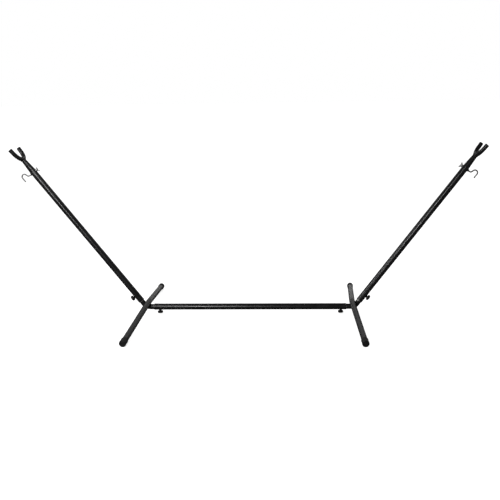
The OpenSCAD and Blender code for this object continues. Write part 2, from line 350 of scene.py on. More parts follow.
# Dust: settles where the surface faces up, in an uneven film
dust_group, given, result = new_group(
    "settled dust", [("Vector", VECTOR, None), ("Normal", VECTOR, None)], ["Mask"])
facing = add_node(dust_group, "ShaderNodeSeparateXYZ", Vector=given["Normal"])
film = noise_in(dust_group, given["Vector"], 45.0, detail=6.0, roughness=0.65)
top = range_in(dust_group, facing.outputs["Z"], 0.35, 0.98)
mask = math_in(dust_group, "MULTIPLY", top, range_in(dust_group, film, 0.42, 0.7))
connect(dust_group, mask, result["Mask"])

# Cut edge: bare band at a sawn end, measured along the tube from the cut
edge_group, given, result = new_group(
    "bare cut edge", [("Vector", VECTOR, None), ("Direction", VECTOR, None), ("Cut", FLOAT, 0.0),
                      ("Reach", FLOAT, 0.001)], ["Mask"])
along = add_node(edge_group, "ShaderNodeVectorMath", {"operation": "DOT_PRODUCT"})
connect(edge_group, given["Vector"], along.inputs[0])
connect(edge_group, given["Direction"], along.inputs[1])
distance = math_in(edge_group, "SUBTRACT", given["Cut"], along.outputs["Value"])
chipped = noise_in(edge_group, given["Vector"], 420.0, roughness=0.7)
ragged = math_in(edge_group, "MULTIPLY", math_in(edge_group, "ADD", chipped, 0.35), given["Reach"])
connect(edge_group, math_in(edge_group, "LESS_THAN", distance, ragged), result["Mask"])
print("surface effects", [g.name for g in bpy.data.node_groups])


# %% Helpers for placing the effects
def place_group(tree, group, **values):
    """Outputs of a group node; values are numbers, tuples or outputs, named as its sockets."""
    return add_node(tree, "ShaderNodeGroup", {"node_tree": group}, **values).outputs


def mix_value(tree, mask, first, second, kind="FLOAT"):
    """Blend of two numbers, colours or outputs by a mask."""
    node = add_node(tree, "ShaderNodeMix", {"data_type": kind}, Factor=mask)
    for socket, value in (("A", first), ("B", second)):
        filled = (*value, 1) if isinstance(value, tuple) else value
        connect(tree, filled, node.inputs[socket])
    return node.outputs["Result"]


def mix_colour(tree, mask, first, second):
    """Blend of two colours or outputs by a mask."""
    return mix_value(tree, mask, first, second, "RGBA")


def finish_shader(tree, shader, colour, rough, height, depth):
    """Colour, roughness and a bump of the given depth in metres."""
    connect(tree, colour, shader.inputs["Base Color"])
    connect(tree, rough, shader.inputs["Roughness"])
    bump = add_node(tree, "ShaderNodeBump", Strength=1.0, Distance=depth, Height=height)
    connect(tree, bump.outputs[0], shader.inputs["Normal"])


# %% [markdown]
# ## Powder coat
# The tubes are sprayed with black powder and baked. The coat melts into a thick, slightly wavy skin
# with a soft gloss: orange peel about a millimetre across. It never holds on a sawn edge, so the ends
# of the two arms and of the base tube show a thin bare line of steel, where the elbows rub as well.
# The heat and soot of welding leave the coat on a fork's bead rougher, browner and a little lighter.

# %% Powder coat
COAT = (0.0085, 0.0085, 0.0092)
COAT_WORN = (0.020, 0.020, 0.021)
WELD_TONES = ((0.030, 0.026, 0.025), (0.070, 0.061, 0.058))
DUST = (0.105, 0.100, 0.092)
BARE_STEEL = (0.56, 0.55, 0.53)
COAT_IOR, COAT_BUMP = 1.52, 0.045 * MM
COAT_GLOSS, COAT_RUBBED, STEEL_ROUGH, DUST_ROUGH = (0.22, 0.29), 0.6, 0.34, 0.9
COAT_DUST, COAT_MARKS = 0.10, 0.5


def powder_coat(name, cuts=(), reach=1.2 * MM, tones=(COAT, COAT_WORN)):
    """Black powder coat. Each cut is a direction and how far along it the tube was sawn."""
    material, tree, shader = new_material(name)
    spot = tree.nodes.new("ShaderNodeTexCoord")
    vector, normal = spot.outputs["Object"], spot.outputs["Normal"]
    skin = place_group(tree, skin_group, Vector=vector, Broad_Scale=230.0, Fine_Scale=820.0)
    marks = place_group(tree, marks_group, Vector=vector, Scale=85.0)
    dust = place_group(tree, dust_group, Vector=vector, Normal=normal)
    toned = mix_colour(tree, range_in(tree, skin["Tone"], 0.3, 0.7), *tones)
    faint = math_in(tree, "MULTIPLY", dust["Mask"], COAT_DUST)
    colour = mix_colour(tree, faint, toned, DUST)
    gloss = range_in(tree, skin["Tone"], 0.3, 0.7, *COAT_GLOSS)
    worn = math_in(tree, "MULTIPLY", marks["Mask"], COAT_MARKS)
    rough = mix_value(tree, worn, gloss, COAT_RUBBED)
    rough = mix_value(tree, faint, rough, DUST_ROUGH)
    metal = None
    for direction, cut in cuts:
        bare = place_group(tree, edge_group, Vector=vector, Direction=tuple(direction),
                           Cut=cut, Reach=reach)["Mask"]
        metal = bare if metal is None else math_in(tree, "MAXIMUM", metal, bare)
    if metal is not None:
        colour = mix_colour(tree, metal, colour, BARE_STEEL)
        rough = mix_value(tree, metal, rough, STEEL_ROUGH)
        connect(tree, metal, shader.inputs["Metallic"])
    shader.inputs["IOR"].default_value = COAT_IOR
    finish_shader(tree, shader, colour, rough, skin["Height"], COAT_BUMP)
    return material


coat = powder_coat("powder_coat")
weld_coat = powder_coat("weld_coat", tones=WELD_TONES)
base_low, base_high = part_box("base_tube")
base_coat = powder_coat("base_tube_coat", [
    (Vector((1, 0, 0)), base_high.x), (Vector((-1, 0, 0)), -base_low.x),
])
ARM_GAP = 46 * MM
arm_coats = {
    side: powder_coat(f"{side}_arm_coat", [(
        -ends[side]["up_arm"],
        -(ends[side]["corner"] + ends[side]["up_arm"] * ARM_GAP).dot(ends[side]["up_arm"]),
    )], reach=2.2 * MM)
    for side in SIDES
}
print("coats", [m.name for m in bpy.data.materials if "coat" in m.name])

# %% [markdown]
# ## Moulded plastic
# Caps, plugs and knobs are injection moulded in black. The mould was spark-eroded, which leaves an
# even, very fine matt grain. It scatters the light more than the powder coat does, so the caps look a
# little greyer and softer than the legs that they close.


# %% Moulded plastic
PLASTIC_TONES = ((0.009, 0.009, 0.009), (0.019, 0.019, 0.020))
PLASTIC_RUBBED = (0.045, 0.045, 0.045)
PLASTIC_IOR, PLASTIC_DUST, PLASTIC_MARKS = 1.49, 0.14, 0.35


def moulded_plastic(name, low, high, grain):
    """Matt black plastic between two roughness values."""
    material, tree, shader = new_material(name)
    spot = tree.nodes.new("ShaderNodeTexCoord")
    vector, normal = spot.outputs["Object"], spot.outputs["Normal"]
    skin = place_group(tree, skin_group, Vector=vector, Broad_Scale=420.0, Fine_Scale=2600.0)
    marks = place_group(tree, marks_group, Vector=vector, Scale=140.0)
    dust = place_group(tree, dust_group, Vector=vector, Normal=normal)
    toned = mix_colour(tree, skin["Tone"], *PLASTIC_TONES)
    dusty = mix_colour(tree, math_in(tree, "MULTIPLY", dust["Mask"], PLASTIC_DUST), toned, DUST)
    rubbed = math_in(tree, "MULTIPLY", marks["Mask"], PLASTIC_MARKS)
    colour = mix_colour(tree, rubbed, dusty, PLASTIC_RUBBED)
    rough = range_in(tree, skin["Tone"], 0.3, 0.7, low, high)
    shader.inputs["IOR"].default_value = PLASTIC_IOR
    finish_shader(tree, shader, colour, rough, skin["Height"], grain)
    return material


plastic = moulded_plastic("knob_plastic", 0.44, 0.56, 0.03 * MM)
soft_plastic = moulded_plastic("cap_plastic", 0.52, 0.66, 0.045 * MM)
print("plastics", plastic.name, soft_plastic.name)

# %% [markdown]
# ## Zinc plate
# The nuts, washers, clamp screws and hook bolts are bright zinc plated. The hook bolts take the same
# zinc with its colour darkened to 0.6, a painted shade. The passivated film clouds the plating,
# slightly blue in one place and slightly straw in another, and that also changes how sharp its reflections are.


# %% Zinc plate
ZINC_COOL, ZINC_WARM = (0.66, 0.68, 0.72), (0.74, 0.72, 0.67)
ZINC_RUBBED = (0.40, 0.40, 0.41)
ZINC_MARKS, ZINC_BUMP = 0.5, 0.012 * MM


def zinc_plate(name, low, high, shade=1.0):
    """Clouded zinc between two roughness values; shade darkens the whole of it."""
    material, tree, shader = new_material(name)
    vector = tree.nodes.new("ShaderNodeTexCoord").outputs["Object"]
    skin = place_group(tree, skin_group, Vector=vector, Broad_Scale=300.0, Fine_Scale=1500.0)
    marks = place_group(tree, marks_group, Vector=vector, Scale=240.0)
    cloud = noise_in(tree, vector, 130.0, detail=4.0, roughness=0.6)
    cool, warm, rubbed = (
        tuple(level * shade for level in tone) for tone in (ZINC_COOL, ZINC_WARM, ZINC_RUBBED)
    )
    tint = mix_colour(tree, cloud, cool, warm)
    colour = mix_colour(tree, math_in(tree, "MULTIPLY", marks["Mask"], ZINC_MARKS), tint, rubbed)
    rough = range_in(tree, cloud, 0.3, 0.7, low, high)
    shader.inputs["Metallic"].default_value = 1.0
    finish_shader(tree, shader, colour, rough, skin["Height"], ZINC_BUMP)
    return material


zinc = zinc_plate("zinc_bright", 0.38, 0.50)
rolled_zinc = zinc_plate("zinc_thread", 0.42, 0.54)
# Painted shade: the hook bolts' zinc, darkened to 0.6 of the bright plating
hook_zinc_painted_shade = zinc_plate("zinc_painted_shade", 0.40, 0.52, 0.6)
print("finishes", [m.name for m in bpy.data.materials])

# %% [markdown]
# ## Tubes
# The base tube, the elbows, the legs, the arms and the forks are right as packed: their walls, bends
# and bores are exact. They only take their finish. An arm's lower end and both ends of the base tube
# get the coat with the bare sawn edge.


# %% Finish on the tubes
def dress(node, material):
    """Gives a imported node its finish."""
    thing = frame["nodes"][node]
    thing.data.materials.clear()
    thing.data.materials.append(material)
    print(node, "takes", material.name)


dress("base_tube", base_coat)
for side in SIDES:
    dress(f"{side}_arm", arm_coats[side])
    for part in ("elbow", "leg", "fork"):
        dress(f"{side}_{part}", coat)

# %% [markdown]
# ## Drawing turned pieces
# Caps, plugs, washers, nuts and knobs are all shapes that go round an axis. `skin_rings` joins rings of
# points with faces, and a ring of one point closes a pole. A nut is the same thing, with rings that
# follow a hexagon. Every ring is drawn in a local frame whose Z is the axis, and placed by its matrix.


# %% Rings and skins
def plain_mesh(bm, name):
    """Mesh from a bmesh, which is freed."""
    mesh = bpy.data.meshes.new(name)
    bm.to_mesh(mesh)
    bm.free()
    return mesh


def finish_mesh(bm, name, material, sharp=35):
    """Object from a bmesh, shaded smooth but for edges steeper than sharp degrees."""
    mesh = plain_mesh(bm, name)
    mesh.shade_smooth()
    mesh.set_sharp_from_angle(angle=math.radians(sharp))
    mesh.materials.append(material)
    thing = bpy.data.objects.new(name, mesh)
    bpy.context.scene.collection.objects.link(thing)
    return thing


def skin_rings(bm, rings, place, closed=False):
    """Faces between neighbouring rings; closed joins the last ring to the first."""
    rows = [[bm.verts.new(place @ Vector(point)) for point in ring] for ring in rings]
    pairs = list(zip(rows, rows[1:])) + ([(rows[-1], rows[0])] if closed else [])
    for low, high in pairs:
        count = max(len(low), len(high))
        for i in range(count):
            j = (i + 1) % count
            corners = (low[i % len(low)], low[j % len(low)], high[j % len(high)], high[i % len(high)])
            corners = list(dict.fromkeys(corners))
            if len(corners) > 2:
                bm.faces.new(corners)


def angles_round(count):
    """Equal steps of angle round a full turn."""
    return [2 * math.pi * i / count for i in range(count)]


def ring_at(radius, height, count):
    """Points round Z; radius is a number, or a function of the angle. Zero gives a pole."""
    if radius == 0:
        return [(0, 0, height)]
    points = []
    for angle in angles_round(count):
        r = radius(angle) if callable(radius) else radius
        points.append((r * math.cos(angle), r * math.sin(angle), height))
    return points


def turned(bm, profile, place, count=64, closed=True):
    """Turned shape from (radius, height) pairs."""
    skin_rings(bm, [ring_at(r, z, count) for r, z in profile], place, closed)


def point_outwards(bm):
    """Merges doubles and turns every face outwards."""
    bmesh.ops.remove_doubles(bm, verts=bm.verts, dist=1e-7)
    bmesh.ops.recalc_face_normals(bm, faces=bm.faces)


def rounded(cx, cz, radius, start, stop, steps=6):
    """Points of an arc in a profile, angles in degrees."""
    turns = [math.radians(start + (stop - start) * i / steps) for i in range(steps + 1)]
    return [(cx + radius * math.cos(t), cz + radius * math.sin(t)) for t in turns]


def in_mm(profile):
    """Profile from millimetres to metres."""
    return [(r * MM, z * MM) for r, z in profile]


def settle(thing, body, replaced):
    """Puts a finished piece on its body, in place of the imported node."""
    if replaced:
        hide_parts(replaced)
    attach(thing, body)
    print(f"{thing.name}: {len(thing.data.polygons)} faces, rides on {body}")


# %% [markdown]
# ## Leg caps
# A cap is pushed over each end of a leg. It is a cup of soft plastic: a lip round its mouth, a body that
# is a hair slimmer, a well rounded end and a raised ring on it. It is turned from one profile. Its
# end rim is the part that touches the floor, so that rim keeps the full 40 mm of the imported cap.

# %% Leg caps
LEG_CREST = 34 * MM
LEG_BEND = 150 * MM
LEG_DROOP = math.radians(7.1)
LEG_REACH = 550 * MM
leg_vertex = LEG_CREST + LEG_BEND * (1 / math.cos(LEG_DROOP) - 1)

cap_profile = in_mm(
    [(17.0, -40.0)] + rounded(19.0, -39.0, 1.0, -90, 0, 4) + [(20.0, -37.6)]
    + [(19.75, -37.0), (19.45, -36.4), (19.4, -34.0), (19.4, -16.0), (19.7, -8.0), (20.0, -4.0)]
    + rounded(17.0, 1.0, 3.0, 0, 90, 8)
    + [(13.0, 4.0), (12.3, 3.85), (12.0, 3.2), (11.7, 3.0), (9.9, 3.0), (9.6, 3.15), (9.2, 3.8),
       (8.6, 4.0), (2.6, 4.0), (2.2, 3.7), (1.2, 3.6), (0, 3.6), (0, 0), (16.6, 0), (17.0, -0.4)]
)
for side in SIDES:
    end = ends[side]
    for name, way in (("front", -1), ("back", 1)):
        sideways = Vector((0, way, 0))
        leg_end = (end["corner"] + sideways * LEG_REACH
                   + end["rise"] * (leg_vertex - LEG_REACH * math.tan(LEG_DROOP)))
        out_along = sideways * math.cos(LEG_DROOP) - end["rise"] * math.sin(LEG_DROOP)
        across = sideways.cross(end["rise"]).normalized()
        bm = bmesh.new()
        turned(bm, cap_profile, frame_at(leg_end, across, out_along), count=96)
        point_outwards(bm)
        cap = finish_mesh(bm, f"{side}_{name}_cap_moulded", soft_plastic, sharp=40)
        settle(cap, f"{side}_corner", f"{side}_{name}_cap")
        floor_gap = min(v.co.z for v in cap.data.vertices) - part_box(f"{side}_{name}_cap")[0].z
        print("  stands", round(floor_gap, 6), "m above the packed cap's lowest point")

# %% [markdown]
# ## Fork plugs
# The fork's tube is closed at both tips by a push-in plug. Only its low domed head shows, and a fine
# gap where it meets the tube. Two plugs are turned for each fork and kept as one piece, as packed.

# %% Fork plugs
FORK_BEND = 58 * MM
FORK_DEPTH = 72 * MM
FORK_TUBE = 12 * MM
FORK_FLARE = math.radians(12)
prong = (FORK_DEPTH - FORK_BEND * (1 - math.sin(FORK_FLARE))) / math.cos(FORK_FLARE)
fork_half = FORK_BEND * math.cos(FORK_FLARE) + prong * math.sin(FORK_FLARE)

plug_profile = in_mm(
    [(0, -14.0), (8.6, -14.0), (9.9, -12.6), (9.9, -0.2), (10.2, 0.05), (11.4, 0.05), (11.9, 0.5),
     (12.0, 1.0), (11.8, 1.6), (11.0, 2.15), (9.0, 2.4), (5.0, 2.5), (0, 2.5)]
)
for side in SIDES:
    end = ends[side]
    fork_bar = end["saddle"] - end["up_arm"] * FORK_TUBE
    bm = bmesh.new()
    for way in (-1, 1):
        sideways = Vector((0, way, 0))
        tip = fork_bar + end["up_arm"] * FORK_DEPTH + sideways * fork_half
        out_along = end["up_arm"] * math.cos(FORK_FLARE) + sideways * math.sin(FORK_FLARE)
        turned(bm, plug_profile, frame_at(tip, end["outward"], out_along), closed=False)
    point_outwards(bm)
    plugs = finish_mesh(bm, f"{side}_fork_plugs_moulded", plastic)
    settle(plugs, f"{side}_arm", f"{side}_fork_plugs")

# %% [markdown]
# ## Geometry Nodes: a small kit
# Threads, weld ripples and knob flutes all repeat one small shape by a rule, which is what Geometry
# Nodes are for. `new_tree` opens a tree with named inputs, `run_tree` sets them by socket identifier,
# evaluates the tree once and returns the result as a plain mesh, with no modifier left on it.


# %% Geometry Nodes kit
def new_tree(name, inputs):
    """Geometry Nodes tree with a geometry and named values, and the outputs that give them."""
    group = bpy.data.node_groups.new(name, "GeometryNodeTree")
    group.interface.new_socket("Geometry", in_out="INPUT", socket_type="NodeSocketGeometry")
    for socket, kind, value in inputs:
        made = group.interface.new_socket(socket, in_out="INPUT", socket_type=kind)
        made.default_value = value
    group.interface.new_socket("Finish", in_out="INPUT", socket_type="NodeSocketMaterial")
    group.interface.new_socket("Geometry", in_out="OUTPUT", socket_type="NodeSocketGeometry")
    return group, group.nodes.new("NodeGroupInput").outputs


def end_tree(group, given, geometry):
    """Ends a tree in Realize Instances and Set Material."""
    solid = add_node(group, "GeometryNodeRealizeInstances", Geometry=geometry)
    painted = add_node(group, "GeometryNodeSetMaterial",
                       Geometry=solid.outputs["Geometry"], Material=given["Finish"])
    add_node(group, "NodeGroupOutput", Geometry=painted.outputs["Geometry"])


def evaluated_mesh(thing):
    """Plain mesh of an object with its modifiers applied; the object is removed."""
    bpy.context.view_layer.update()
    graph = bpy.context.evaluated_depsgraph_get()
    mesh = bpy.data.meshes.new_from_object(thing.evaluated_get(graph), depsgraph=graph)
    bpy.data.objects.remove(thing)
    return mesh


def run_tree(start, group, values):
    """Mesh that the tree makes from the start object."""
    modifier = start.modifiers.new(group.name, "NODES")
    modifier.node_group = group
    for item in group.interface.items_tree:
        if item.in_out == "INPUT" and item.name in values:
            modifier[item.identifier] = values[item.name]
    return evaluated_mesh(start)


def start_object(data):
    """Linked object that a tree or a modifier can start from."""
    thing = bpy.data.objects.new("start", data)
    bpy.context.scene.collection.objects.link(thing)
    return thing


INTEGER = "NodeSocketInt"

# %% [markdown]
# ## Knobs
# Each hand knob is a disc with eight shallow flutes for the fingers, on a short hub. A plain round
# blank is turned first. The tree then presses the flutes into its rim: it pulls every point inwards by
# a cosine of its angle, fully at the rim and not at all near the middle, so the flutes fade out in soft
# curves as moulded ones do. That is easier to keep smooth than cutting eight cylinders out of a disc.

# %% Flute tree
# Where a flute begins on the cosine, and how round its hollow is
FLUTE_EDGE, FLUTE_CURVE = 0.6, 1.3
flutes, given = new_tree("press flutes", [
    ("Flutes", INTEGER, 8), ("Depth", FLOAT, 0.0017), ("Inner Radius", FLOAT, 0.010),
    ("Outer Radius", FLOAT, 0.0165),
])
spot = flutes.nodes.new("GeometryNodeInputPosition").outputs[0]
split = add_node(flutes, "ShaderNodeSeparateXYZ", Vector=spot).outputs
flat = add_node(flutes, "ShaderNodeCombineXYZ", X=split["X"], Y=split["Y"]).outputs[0]
reach = add_node(flutes, "ShaderNodeVectorMath", {"operation": "LENGTH"}, Vector=flat)
angle = math_in(flutes, "ARCTAN2", split["Y"], split["X"])
wave = math_in(flutes, "COSINE", math_in(flutes, "MULTIPLY", angle, given["Flutes"]))
hollow = math_in(flutes, "POWER", range_in(flutes, wave, FLUTE_EDGE, -1.0), FLUTE_CURVE)
rim = range_in(flutes, reach.outputs["Value"], given["Inner Radius"], given["Outer Radius"])
pull = math_in(flutes, "MULTIPLY", math_in(flutes, "MULTIPLY", hollow, rim),
               math_in(flutes, "MULTIPLY", given["Depth"], -1.0))
aim = add_node(flutes, "ShaderNodeVectorMath", {"operation": "NORMALIZE"}, Vector=flat)
shift = add_node(flutes, "ShaderNodeVectorMath", {"operation": "SCALE"},
                 Vector=aim.outputs[0], Scale=pull)
pressed = add_node(flutes, "GeometryNodeSetPosition", Geometry=given["Geometry"],
                   Offset=shift.outputs[0])
end_tree(flutes, given, pressed.outputs["Geometry"])
print("flute tree", len(flutes.nodes), "nodes")

# %% Knobs
knob_profile = in_mm(
    [(0, 35.4), (4.1, 35.4), (4.1, 25.4)] + rounded(4.7, 25.6, 0.6, 180, 270, 3)
    + rounded(7.9, 25.6, 0.6, -90, 0, 4) + [(8.5, 26.2)] + rounded(9.5, 26.0, 1.0, 180, 90, 4)
    + [(12.0, 27.0), (14.6, 27.0)] + rounded(14.9, 28.6, 1.6, -90, 0, 6)
    + [(16.5, 30.0), (16.5, 32.0), (16.5, 34.0)] + rounded(13.0, 35.0, 3.5, 0, 90, 9)
    + [(12.0, 38.5), (11.4, 38.42), (11.0, 38.1), (10.6, 37.75), (10.0, 37.6), (7.4, 37.6),
       (6.8, 37.7), (6.4, 37.95), (5.8, 38.1), (3.0, 38.2), (0, 38.2)]
)
bm = bmesh.new()
turned(bm, knob_profile, Matrix.Identity(4), count=128, closed=False)
point_outwards(bm)
pressed_knob = run_tree(start_object(plain_mesh(bm, "blank")), flutes, {
    "Flutes": 8, "Depth": 1.9 * MM, "Inner Radius": 9.5 * MM, "Outer Radius": 16.0 * MM,
    "Finish": plastic,
})
for side in SIDES:
    for tube, _, place, axis in clamps[side]:
        bm = bmesh.new()
        bm.from_mesh(pressed_knob)
        bm.transform(frame_at(place, SIDEWAYS, axis))
        knob = finish_mesh(bm, f"{side}_{tube}_knob_moulded", plastic, sharp=50)
        settle(knob, f"{side}_{tube}_clamp", f"{side}_{tube}_knob")

# %% [markdown]
# ## Screw threads
# A thread is a ridge that climbs round a core. The tree sweeps a small hexagon along a spiral, and
# lets it grow from nothing at both ends, as a real thread runs out. The spiral's normals are held
# upright, or the hexagon would roll about its path. One tree serves the clamp screws and the hook
# shanks, which share the 8 mm size and its 1.25 mm pitch.

# %% Thread tree
thread, given = new_tree("threaded rod", [
    ("Outer Radius", FLOAT, 0.004), ("Depth", FLOAT, 0.00068), ("Pitch", FLOAT, 0.00125),
    ("Length", FLOAT, 0.02), ("Steps per Turn", INTEGER, 28),
])
RIDGE_SHARE, RUN_OUT = 0.62, 0.06
outer, depth, pitch, length = (given[k] for k in ("Outer Radius", "Depth", "Pitch", "Length"))
ridge_size = math_in(thread, "MULTIPLY", depth, RIDGE_SHARE)
ridge_radius = math_in(thread, "SUBTRACT", outer, ridge_size)
ridge_length = math_in(thread, "SUBTRACT", length, pitch)
spiral = add_node(
    thread, "GeometryNodeCurveSpiral", Resolution=given["Steps per Turn"],
    Rotations=math_in(thread, "DIVIDE", ridge_length, pitch),
    Start_Radius=ridge_radius, End_Radius=ridge_radius, Height=ridge_length,
)
steady = add_node(thread, "GeometryNodeSetCurveNormal", {"mode": "Z_UP"},
                  Curve=spiral.outputs["Curve"])
along = thread.nodes.new("GeometryNodeSplineParameter").outputs["Factor"]
swelling = math_in(thread, "MULTIPLY", range_in(thread, along, 0.0, RUN_OUT),
                   range_in(thread, along, 1.0, 1.0 - RUN_OUT))
ridge = add_node(thread, "GeometryNodeCurvePrimitiveCircle", Resolution=6, Radius=ridge_size)
sweep = add_node(thread, "GeometryNodeCurveToMesh", Curve=steady.outputs["Curve"],
                 Profile_Curve=ridge.outputs["Curve"], Scale=swelling, Fill_Caps=True)
core = add_node(thread, "GeometryNodeMeshCylinder", Vertices=32, Depth=length,
                Radius=math_in(thread, "SUBTRACT", outer, depth))
joined = thread.nodes.new("GeometryNodeJoinGeometry")
for piece, span in ((sweep, pitch), (core, length)):
    lift = add_node(thread, "ShaderNodeCombineXYZ", Z=math_in(thread, "MULTIPLY", span, 0.5))
    raised = add_node(thread, "GeometryNodeTransform", Geometry=piece.outputs["Mesh"],
                      Translation=lift.outputs[0])
    connect(thread, raised.outputs["Geometry"], joined.inputs["Geometry"])
end_tree(thread, given, joined.outputs["Geometry"])
print("thread tree", len(thread.nodes), "nodes")

# %% Clamp screws
SCREW_RADIUS, SCREW_TIP, SCREW_END = 4 * MM, 16.3 * MM, 35.4 * MM


def threaded(bm, place, length, finish):
    """Adds a threaded rod from the local origin up Z."""
    rod = run_tree(start_object(bpy.data.meshes.new("empty")), thread, {
        "Outer Radius": SCREW_RADIUS, "Depth": 0.68 * MM, "Pitch": 1.25 * MM,
        "Length": length, "Steps per Turn": 28, "Finish": finish,
    })
    rod.transform(place)
    bm.from_mesh(rod)


for side in SIDES:
    for tube, _, place, axis in clamps[side]:
        bm = bmesh.new()
        tip_frame = frame_at(place + axis * SCREW_TIP, SIDEWAYS, axis)
        threaded(bm, tip_frame, SCREW_END - SCREW_TIP, rolled_zinc)
        screw = finish_mesh(bm, f"{side}_{tube}_screw_threaded", rolled_zinc, sharp=30)
        settle(screw, f"{side}_{tube}_clamp", f"{side}_{tube}_screw")

# %% [markdown]
# ## Hexagon nuts
# A nut is a hexagonal prism whose corners were turned off at an angle, which leaves six curved edges
# on its face. Each ring follows the smaller of two outlines: the hexagon, and the cone of the chamfer
# at that height. The clamp nuts are welded to the tubes and coated with them, the hook's nut is plated.

# %% Nuts
NUT_ACROSS = 13 * MM
NUT_CORNER = NUT_ACROSS / 2 / math.cos(math.pi / 6)
NUT_FACE = 6.25 * MM
NUT_CHAMFER = 0.62 * MM
BORE_CHAMFER = 0.45 * MM
NUT_STEPS = 5
NUT_POINTS = 96


def hexagon(limit):
    """Radius of a hexagon by angle, cut off at a limit."""
    def radius(angle):
        turn = (angle + math.pi / 6) % (math.pi / 3) - math.pi / 6
        return min(NUT_ACROSS / 2 / math.cos(turn), limit)
    return radius


def hex_nut(bm, place, low, high, bore, chamfer_low=True):
    """Chamfered nut between two heights."""
    slope = [i / NUT_STEPS for i in range(NUT_STEPS + 1)]
    outline = [(bore + BORE_CHAMFER, low)]
    if chamfer_low:
        outline += [(hexagon(NUT_FACE + (NUT_CORNER - NUT_FACE) * t), low + NUT_CHAMFER * t)
                    for t in slope]
    else:
        outline.append((hexagon(NUT_CORNER), low))
    outline += [(hexagon(NUT_CORNER - (NUT_CORNER - NUT_FACE) * t), high - NUT_CHAMFER * (1 - t))
                for t in slope]
    outline += [(bore + BORE_CHAMFER, high), (bore, high - BORE_CHAMFER), (bore, low + BORE_CHAMFER)]
    turned(bm, outline, place, NUT_POINTS)


WELD_NUT_LOW, WELD_NUT_TOP = 17.4 * MM, 24 * MM
for side in SIDES:
    for tube, body, place, axis in clamps[side]:
        bm = bmesh.new()
        hex_nut(bm, frame_at(place, SIDEWAYS, axis), WELD_NUT_LOW, WELD_NUT_TOP,
                SCREW_RADIUS + 0.05 * MM, chamfer_low=False)
        point_outwards(bm)
        nut = finish_mesh(bm, f"{side}_{tube}_nut_coated", coat, sharp=25)
        settle(nut, body, f"{side}_{tube}_nut")

TUBE_RADIUS, WASHER, SLACK = 19 * MM, 1.6 * MM, 0.3 * MM
HOOK_NUT_HEIGHT = 6.5 * MM
hook_seat = TUBE_RADIUS + WASHER + SLACK
for side in SIDES:
    end = ends[side]
    bm = bmesh.new()
    place = frame_at(end["hook"], end["up_arm"], end["outward"])
    hex_nut(bm, place, hook_seat, hook_seat + HOOK_NUT_HEIGHT, SCREW_RADIUS)
    point_outwards(bm)
    nut = finish_mesh(bm, f"{side}_hook_nut_plated", zinc, sharp=25)
    settle(nut, f"{side}_hook", f"{side}_hook_nut")

# %% [markdown]
# ## Washers
# The washers were punched from sheet, so one face has softly drawn-in edges and the other a thin burr.
# Their edges are therefore turned rounder on the outer face than on the face against the tube.

# %% Washers
washer_profile = [(4.5, 0.15), (4.65, 0.0), (8.3, 0.0), (8.5, 0.2), (8.5, 1.0)]
washer_profile += rounded(7.9, 1.0, 0.6, 0, 90, 5) + rounded(5.0, 1.1, 0.5, 90, 180, 4)
for side in SIDES:
    end = ends[side]
    bm = bmesh.new()
    for way in (-1, 1):
        outer = end["outward"] * way
        place = frame_at(end["hook"] + outer * TUBE_RADIUS, end["up_arm"], outer)
        turned(bm, in_mm(washer_profile), place)
    point_outwards(bm)
    washers = finish_mesh(bm, f"{side}_hook_washers_punched", zinc, sharp=40)
    settle(washers, f"{side}_arm", f"{side}_hook_washers")

# %% [markdown]
# ## Hook bolts
# A hook bolt is a length of 8 mm wire with a rolled thread on its straight end. The other end kicks up
# along the arm, arches over and comes back down as an open leg with a rounded tip. The wire is swept
# along its path: rings of points stand square to the path, close together in the bends.

# %% Hook bolts
SHANK_IN, SHANK_OUT = 34 * MM, 34 * MM
THREAD_END = 29 * MM
CORE_START = 3.3 * MM
TIP_ROUND = 2.6 * MM
TIP_STEPS = 6
HOOK_STEPS = (("bend", 10 * MM, 70), ("straight", 12 * MM, 0), ("bend", 15 * MM, -160),
              ("straight", 27 * MM, 0))


def hook_path():
    """Points and headings of the wire in the (outward, up the arm) plane, past its thread."""
    heading = 0.0
    spot = Vector((SHANK_OUT, 0))
    stations = [(Vector((THREAD_END + 1.2 * MM, 0)), 0.0), (spot.copy(), 0.0)]
    for kind, size, turn in HOOK_STEPS:
        if kind == "straight":
            spot = spot + Vector((math.cos(heading), math.sin(heading))) * size
            stations.append((spot.copy(), heading))
            continue
        count = max(6, abs(turn) // 5)
        side_of_turn = 1 if turn > 0 else -1
        pivot = spot + Vector((-math.sin(heading), math.cos(heading))) * size * side_of_turn
        for _ in range(count):
            heading += math.radians(turn) / count
            spot = pivot + Vector((math.sin(heading), -math.cos(heading))) * size * side_of_turn
            stations.append((spot.copy(), heading))
    return stations


def wire_ring(spot, heading, radius, count=28):
    """Ring square to the path, in the frame whose X is outward and Z runs up the arm."""
    if radius == 0:
        return [(spot.x, 0, spot.y)]
    return [
        (spot.x - math.sin(heading) * radius * math.cos(t), radius * math.sin(t),
         spot.y + math.cos(heading) * radius * math.cos(t))
        for t in angles_round(count)
    ]


